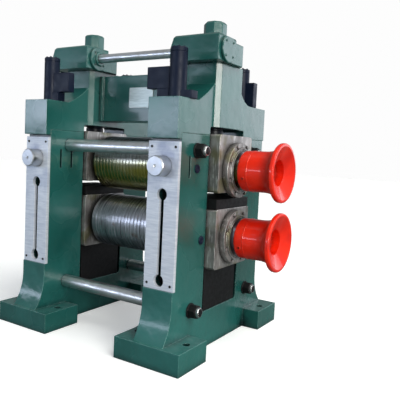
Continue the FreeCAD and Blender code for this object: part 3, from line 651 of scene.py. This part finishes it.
def makeCoupling(nodeName, body):
    low, high = boxOf[nodeName]
    s = {k: v * mm for k, v in couplingParts.items()}
    start, end, flange = low.x, high.x, (high.z - low.z) / 2
    axisZ = (high.z + low.z) / 2
    rim = end - s["flangeWidth"]
    flareStart, flareEnd = (rim - s["flareLength"], s["barrel"]), (rim, flange - s["edge"])
    ring = start + s["ringAt"]
    profile = [(start, s["seat"]), (start, s["root"])]
    profile += curved((start, s["root"]), (start, s["barrel"]),
                      (start + s["rootLength"], s["barrel"]))
    foot, crown, ringTop = s["ringFoot"], s["ringCrown"], s["barrel"] + s["ringRise"]
    profile += [(ring - foot, s["barrel"]), (ring - crown, ringTop), (ring + crown, ringTop),
                (ring + foot, s["barrel"])]
    pull = (rim - s["flareNeck"], s["barrel"] + s["flareLift"])
    profile += [flareStart] + curved(flareStart, pull, flareEnd, 12)
    profile += curved(flareEnd, (rim, flange), (rim + s["edge"], flange), 5)
    lastEdge = (end - s["edge"], flange)
    profile += [lastEdge] + curved(lastEdge, (end, flange), (end, flange - s["edge"]), 5)
    profile += [(end, s["dish"] + s["lip"]), (end - s["lip"], s["dish"]),
                (end - s["dishDepth"], s["socket"] + s["socketLip"])]
    profile += [(end - s["dishDepth"] - s["socketLip"], s["socket"]),
                (end - s["socketDepth"], s["socket"]), (end - s["socketDepth"], 0)]
    bm = bmesh.new()
    addLathe(bm, aimed(Vector((0, 0, axisZ)), xAxis), profile, 112)
    for k in range(2):  # grub screws that lock the spool to the roll's end
        turn = math.radians(200 + 180 * k)
        out = Vector((0, math.cos(turn), math.sin(turn)))
        place = Vector((start + s["grubAt"], 0, axisZ)) + out * (s["barrel"] - s["grubSink"])
        addSocketScrew(bm, aimed(place, out), s["grubRadius"], s["grubHeight"])
    finishPiece(bm, nodeName + "_spool", "red_paint", body, [nodeName])


makeCoupling("upper_coupling", "upper_roll_set")
makeCoupling("lower_coupling", "lower_roll_set")
print("couplings done")


# bearing covers: stepped rings with seal lips and a circle of bolts

coverParts = {
    "step": 136, "stepHeight": 10, "bore": 112, "edge": 2,
    "bolts": 8, "boltCircle": 149.5, "boltFlats": 18, "boltHeight": 8,
    # the drive side's seal groove, then the operator side's blind dish
    "lipOuter": 127, "lipInner": 117, "lipDepth": 3, "lipWall": 2,
    "dishOuter": 100, "dishInner": 36, "dishDepth": 4, "dishSlope": 4, "bossDrop": 1,
}


def makeBearingCover(side, level, body):
    name = f"{side}_{level}_bearing_cover"
    low, high = boxOf[name]
    s = {k: v * mm for k, v in coverParts.items()}
    outward = Vector((sides[side], 0, 0))
    radius, thick = (high.z - low.z) / 2, high.x - low.x
    faceX = low.x if side == "drive" else high.x
    axis = aimed(Vector((faceX, 0, (high.z + low.z) / 2)), outward)
    ledge = thick - s["stepHeight"]
    edge, step, bore = s["edge"], s["step"], s["bore"]
    profile = [(0, radius - edge / 2), (edge, radius), (ledge - edge, radius)]
    profile += [(ledge, radius - edge), (ledge, step + edge), (ledge + edge, step)]
    profile += [(thick - edge, step), (thick, step - edge)]
    if side == "drive":
        floorAt, wall = thick - s["lipDepth"], s["lipWall"]
        profile += [(thick, s["lipOuter"]), (floorAt, s["lipOuter"] - wall)]
        profile += [(floorAt, s["lipInner"] + wall), (thick, s["lipInner"])]
        profile += [(thick, bore + edge / 2), (thick - edge / 2, bore), (0, bore)]
    else:
        floorAt, slope, bossAt = thick - s["dishDepth"], s["dishSlope"], thick - s["bossDrop"]
        profile += [(thick, s["dishOuter"]), (floorAt, s["dishOuter"] - slope)]
        profile += [(floorAt, s["dishInner"] + slope), (bossAt, s["dishInner"]), (bossAt, 0)]
    bm = bmesh.new()
    addLathe(bm, axis, profile, 96, closed=side == "drive")
    for k in range(int(coverParts["bolts"])):
        turn = math.radians(22.5 + 360 * k / coverParts["bolts"])
        place = onCircle(axis, s["boltCircle"], turn, ledge)
        addHexHead(bm, aimed(place, outward), s["boltFlats"], s["boltHeight"], 4)
    finishPiece(bm, name + "_turned", "chock_steel", body, [name])


for side in sides:
    makeBearingCover(side, "upper", "upper_carriage")
    makeBearingCover(side, "lower", "frame")
print("bearing covers done")


# locking pins, tie rods, worm shaft: turned bars

pinParts = {"edge": 5, "centreHole": 9, "innerEnd": 330}


def addTurnedBar(bm, start, end, radius, edge, centreHole):
    length = (end - start).length
    profile = [(0, 0), (0, centreHole * 0.2), (0.0, centreHole), (0, radius - edge), (edge, radius)]
    profile += [(length - edge, radius), (length, radius - edge), (length, centreHole),
                (length - centreHole * 0.8, centreHole * 0.2), (length - centreHole * 0.8, 0)]
    addLathe(bm, aimed(start, end - start), profile, 64)


for side in sides:
    name = f"{side}_locking_pins"
    low, high = boxOf[name]
    radius = (high.z - low.z) / 2
    middleX, middleZ = (low.x + high.x) / 2, (low.z + high.z) / 2
    bm = bmesh.new()
    innerEnd = pinParts["innerEnd"] * mm
    for outer, inner in ((low.y, -innerEnd), (high.y, innerEnd)):
        start, end = Vector((middleX, inner, middleZ)), Vector((middleX, outer, middleZ))
        addTurnedBar(bm, start, end, radius, pinParts["edge"] * mm, pinParts["centreHole"] * mm)
    finishPiece(bm, name + "_turned", "polished_steel", "frame", [name])

rodParts = {"radius": 28, "edge": 4, "tubeReach": 397, "tubeEdge": 3}  # a rod in its spacer tube
for name in [n for n in frame["nodes"] if n.endswith("tie_rod")]:
    low, high = boxOf[name]
    radius, tubeRadius = rodParts["radius"] * mm, (high.z - low.z) / 2
    edge, tubeEdge = rodParts["edge"] * mm, rodParts["tubeEdge"] * mm
    half, tubeHalf = (high.x - low.x) / 2, rodParts["tubeReach"] * mm
    profile = [(-half, 0), (-half, radius - edge), (edge - half, radius), (-tubeHalf, radius)]
    profile += [(-tubeHalf, tubeRadius - tubeEdge), (tubeEdge - tubeHalf, tubeRadius)]
    profile += [(-at, r) for at, r in reversed(profile)]
    bm = bmesh.new()
    addLathe(bm, aimed((low + high) / 2, xAxis), profile, 64)
    finishPiece(bm, name + "_turned", "chrome_rod", "frame", [name])

shaftParts = {"edge": 5, "centreHole": 6}
low, high = boxOf["worm_shaft"]
spot = (low + high) / 2
bm = bmesh.new()
start, end = Vector((low.x, spot.y, spot.z)), Vector((high.x, spot.y, spot.z))
addTurnedBar(bm, start, end, (high.z - low.z) / 2, shaftParts["edge"] * mm,
             shaftParts["centreHole"] * mm)
finishPiece(bm, "worm_shaft_turned", "chrome_rod", frame["nodes"]["worm_shaft"]["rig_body"],
            ["worm_shaft"])

nutParts = {
    "acrossFlats": 71, "turn": 15, "washerRadius": 43, "washerThickness": 6, "washerEdge": 1,
    "threadPitch": 5.5, "threadDepth": 2, "threadRunOut": 4, "oxideFilm": 0.4,
}
nutLow, nutHigh = boxOf["tie_rod_nuts"]
s = {k: v * mm for k, v in nutParts.items()}
rodRadius = rodParts["radius"] * mm
bm = bmesh.new()
for name in [n for n in frame["nodes"] if n.endswith("tie_rod")]:
    low, high = boxOf[name]
    for sign in (-1, 1):
        along = Vector((sign, 0, 0))
        face = boxOf["drive_front_liner"][1].x if sign > 0 else boxOf["operator_front_liner"][0].x
        seat = aimed(Vector((face, (low.y + high.y) / 2, (low.z + high.z) / 2)), along)
        washer, outer, edge = s["washerThickness"], s["washerRadius"], s["washerEdge"]
        profile = [(0, outer), (washer - edge, outer), (washer, outer - edge), (washer, rodRadius)]
        addLathe(bm, seat, profile, 48)
        nutEnd = abs((nutHigh.x if sign > 0 else nutLow.x) - face)
        turned = Matrix.Rotation(math.radians(nutParts["turn"]), 4, "Z")
        addHexHead(bm, seat @ Matrix.Translation((0, 0, washer)) @ turned, s["acrossFlats"],
                   nutEnd - washer)
        rodEnd = abs((high.x if sign > 0 else low.x) - face)
        turns = int((rodEnd - nutEnd - s["threadRunOut"]) / s["threadPitch"])
        profile = [(nutEnd, rodRadius)]
        for k in range(turns + 1):
            at = nutEnd + k * s["threadPitch"]
            profile += [(at, rodRadius), (at + s["threadPitch"] / 2, rodRadius - s["threadDepth"])]
        profile += [(rodEnd - 0.002, rodRadius - 0.001), (rodEnd, rodRadius - 0.006)]
        film = s["oxideFilm"]
        oxide = [(at, min(r, rodRadius) + film) for at, r in profile] + [(rodEnd + film, 0)]
        addLathe(bm, seat, oxide, 40)
finishPiece(bm, "tie_rod_nuts_hexed", "black_nut", "frame", ["tie_rod_nuts"])
print("pins, rods and nuts done")


# pressure screws: buttress threads below the gearbox, a plain foot on the chock

screwParts = {
    "footLength": 26, "footEdge": 3, "threadPitch": 12, "threadDepth": 4, "crestWear": 0.5,
}
for side in sides:
    name = f"{side}_pressure_screw"
    low, high = boxOf[name]
    s = {k: v * mm for k, v in screwParts.items()}
    radius, length = (high.x - low.x) / 2, high.z - low.z
    root, crest = radius - s["threadDepth"], radius - s["crestWear"]
    edge, pitch = s["footEdge"], s["threadPitch"]
    profile = [(0, 0), (0, radius - edge), (edge, radius), (s["footLength"], radius)]
    profile += [(s["footLength"] + 0.004, root)]
    at = s["footLength"] + 0.006
    while at < length - pitch:
        profile += [(at, root), (at + pitch * 0.2, crest), (at + pitch * 0.55, crest),
                    (at + pitch * 0.9, root)]
        at += pitch
    profile += [(length, root), (length, 0)]
    bm = bmesh.new()
    addLathe(bm, aimed(Vector((middle(name).x, middle(name).y, low.z)), zAxis), profile, 64)
    finishPiece(bm, name + "_threaded", "screw_steel", "upper_carriage", [name])
print("pressure screws done")


# clamp cylinders: tubes with a gland ring, a rounded head and cap screws

clampParts = {
    "headEdge": 7, "headHeight": 34, "groove": 2.5, "grooveWidth": 4, "screwRise": 6,
    "screws": 6, "screwRadius": 6, "screwHeight": 6.8, "screwCircle": 33, "rearLift": 26,
}
for side in sides:
    name = f"{side}_clamp_columns"
    low, high = boxOf[name]
    radius = (high.x - low.x) / 2
    s = {k: v * mm for k, v in clampParts.items()}
    bm = bmesh.new()
    for y, foot in ((low.y + radius, low.z), (high.y - radius, low.z + s["rearLift"])):
        height = high.z - foot
        axis = aimed(Vector((middle(name).x, y, foot)), zAxis)
        head = height - s["headHeight"]
        top = height - s["screwRise"]
        neck, step = radius - s["groove"], 0.001
        profile = [(0, 0), (0, radius), (head, radius), (head + step, neck)]
        profile += [(head + s["grooveWidth"], neck), (head + s["grooveWidth"] + step, radius)]
        rounded = (top - s["headEdge"], radius)
        profile += [rounded] + curved(rounded, (top, radius), (top, radius - s["headEdge"]), 4)
        profile.append((top, 0))
        addLathe(bm, axis, profile, 72)
        for k in range(int(clampParts["screws"])):
            turn = 2 * math.pi * k / clampParts["screws"]
            spot = onCircle(axis, s["screwCircle"], turn, top - step)
            addSocketScrew(bm, aimed(spot, zAxis), s["screwRadius"], s["screwHeight"])
    finishPiece(bm, name + "_turned", "cylinder_black", "frame", [name])
print("clamp cylinders done")


# worm covers: turned discs, bolted on; the shaft comes in through a hub

wormCoverParts = {
    "thickness": 16, "edge": 3,
    "hub": 45, "hubRise": 14, "hubFillet": 4, "hubEdge": 2, "bore": 30, "boreDepth": 12,
    "bolts": 4, "boltCircle": 57, "boltRadius": 6.5, "boltHeight": 4, "boltMargin": 8,
}
for side in sides:
    name = f"{side}_worm_covers"
    low, high = boxOf[name]
    s = {k: v * mm for k, v in wormCoverParts.items()}
    radius = (high.y - low.y) / 2
    gearLow, gearHigh = boxOf[f"{side}_gearbox"]
    bm = bmesh.new()
    for facing, faceX in ((-1, gearLow.x), (1, gearHigh.x)):
        outward = Vector((facing, 0, 0))
        axis = aimed(Vector((faceX, middle(name).y, low.z + radius)), outward)
        thick = s["thickness"]
        profile = [(0, radius), (thick - s["edge"], radius), (thick, radius - s["edge"])]
        if facing * sides[side] < 0:
            top, hub = thick + s["hubRise"], s["hub"]
            profile += [(thick, hub + s["hubFillet"]), (thick + s["hubFillet"], hub),
                        (top - s["hubEdge"], hub)]
            profile += [(top, hub - s["hubEdge"]), (top, s["bore"]),
                        (top - s["boreDepth"], s["bore"])]
        else:
            profile += [(thick, 0)]
        addLathe(bm, axis, profile, 72)
        for k in range(wormCoverParts["bolts"]):
            turn = math.radians(45 + 360 * k / wormCoverParts["bolts"])
            spot = onCircle(axis, s["boltCircle"], turn, thick)
            if spot.z < high.z - s["boltMargin"]:
                addSocketScrew(bm, aimed(spot, outward), s["boltRadius"], s["boltHeight"])
    cut = bmesh.ops.bisect_plane(bm, geom=bm.verts[:] + bm.edges[:] + bm.faces[:],
                                 plane_co=(0, 0, high.z), plane_no=zAxis, clear_outer=True)
    openEdges = [e for e in cut["geom_cut"] if isinstance(e, bmesh.types.BMEdge)]
    bmesh.ops.edgenet_fill(bm, edges=openEdges)
    finishPiece(bm, name + "_turned", "green_casting", "frame", [name])
print("worm covers done")


# nameplate: a bare plate with round corners and four rivets

plateParts = {"corner": 9, "edge": 1, "rivetInset": 11, "rivet": 4, "rivetRim": 0.6, "rivetRise": 2}
low, high = boxOf["nameplate"]
s = {k: v * mm for k, v in plateParts.items()}
bm = bmesh.new()
outline = []
for cornerX, cornerZ, start in ((high.x, high.z, 0), (low.x, high.z, 90), (low.x, low.z, 180),
                                (high.x, low.z, 270)):
    for k in range(5):
        turn = math.radians(start + 22.5 * k)
        centreX = cornerX - math.copysign(s["corner"], cornerX - middle("nameplate").x)
        centreZ = cornerZ - math.copysign(s["corner"], cornerZ - middle("nameplate").z)
        outline.append((centreX + s["corner"] * math.cos(turn), centreZ + s["corner"] * math.sin(turn)))
levels = [(high.y, 0), (low.y + s["edge"], 0), (low.y, s["edge"])]
spot = middle("nameplate")
rings = []
for y, inset in levels:
    ring = []
    for x, z in outline:
        x, z = x - math.copysign(inset, x - spot.x), z - math.copysign(inset, z - spot.z)
        ring.append(bm.verts.new((x, y, z)))
    rings.append(ring)
for first, second in zip(rings, rings[1:]):
    for k in range(len(outline)):
        n = (k + 1) % len(outline)
        bm.faces.new((first[k], first[n], second[n], second[k]))
bm.faces.new(rings[-1])
for x in (low.x + s["rivetInset"], high.x - s["rivetInset"]):
    for z in (low.z + s["rivetInset"], high.z - s["rivetInset"]):
        rim = (s["rivetRim"], s["rivet"])
        dome = [(0, s["rivet"]), rim]
        dome += curved(rim, (s["rivetRise"], s["rivet"] * 0.8), (s["rivetRise"], 0), 4)
        addLathe(bm, aimed(Vector((x, low.y, z)), (0, -1, 0)), dome, 20)
finishPiece(bm, "nameplate_riveted", "plate_aluminium", "frame", ["nameplate"])
print("nameplate done")


# fittings: core hole plugs and liner screws

fittingParts = {
    "plugs": ((597, -328, 1064), (597, -254, 657)), "plugRadius": 24, "plugHeight": 7,
    "plugEdge": 2, "plugDimple": 4,
    "linerScrewRadius": 7, "linerScrewHeight": 3, "linerScrewInset": (22, 30),
}
bm = bmesh.new()
for x, y, z in fittingParts["plugs"]:
    for sign in (1, -1):  # the same plugs close the core holes of both housings
        radius, height = fittingParts["plugRadius"] * mm, fittingParts["plugHeight"] * mm
        edge, dimple = fittingParts["plugEdge"] * mm, height - fittingParts["plugDimple"] * mm
        profile = [(0, radius), (height - edge, radius), (height, radius - edge),
                   (height, radius * 0.4)]
        profile += [(dimple, radius * 0.34), (dimple, 0)]
        addLathe(bm, aimed(Vector((sign * x * mm, y * mm, z * mm)), (sign, 0, 0)), profile, 32)
finishPiece(bm, "core_hole_plugs", "cylinder_black", "frame")
bm = bmesh.new()
for side, sign in sides.items():
    for liner, facing in (("front_liner", -1), ("rear_liner", 1)):
        low, high = boxOf[f"{side}_{liner}"]
        faceY = low.y if facing < 0 else high.y
        insetX, insetZ = (v * mm for v in fittingParts["linerScrewInset"])
        for x in (low.x + insetX, high.x - insetX):
            for z in (low.z + insetZ, high.z - insetZ):
                addSocketScrew(bm, aimed(Vector((x, faceY, z)), (0, facing, 0)),
                               fittingParts["linerScrewRadius"] * mm,
                               fittingParts["linerScrewHeight"] * mm)
finishPiece(bm, "liner_screws", "black_nut", "frame")
print("fittings done")


# floor

floorSettings = {
    "size": 60.0, "drop": 0.0005, "colour": "#F4F5F5", "mirrored": "#6C7674", "glow": 0.32,
}
floorMesh = bpy.data.meshes.new("paleFloor")
reach = floorSettings["size"] / 2
corners = [(-reach, -reach, 0), (reach, -reach, 0), (reach, reach, 0), (-reach, reach, 0)]
floorMesh.from_pydata(corners, [], [(0, 1, 2, 3)])
floor = bpy.data.objects.new("paleFloor", floorMesh)
bpy.context.scene.collection.objects.link(floor)
floor.location.z = -floorSettings["drop"]
paper, tree, shader, place = newSurface("paleFloorPaint", {"Roughness": 0.7})
# the castings mirror a greyer workshop floor than the pale one that is seen
rayKind = addNode(tree, "ShaderNodeLightPath")
tree.links.new(tinted(tree, rayKind.outputs["Is Camera Ray"], floorSettings["mirrored"],
                      floorSettings["colour"]),
               shader.inputs["Base Color"])
glow = addNode(tree, "ShaderNodeMath", {"operation": "MULTIPLY", 1: floorSettings["glow"]},
               {0: rayKind.outputs["Is Camera Ray"]})
shader.inputs["Emission Color"].default_value = (1, 1, 1, 1)
tree.links.new(glow.outputs[0], shader.inputs["Emission Strength"])
floorMesh.materials.append(paper)
print("floor done")
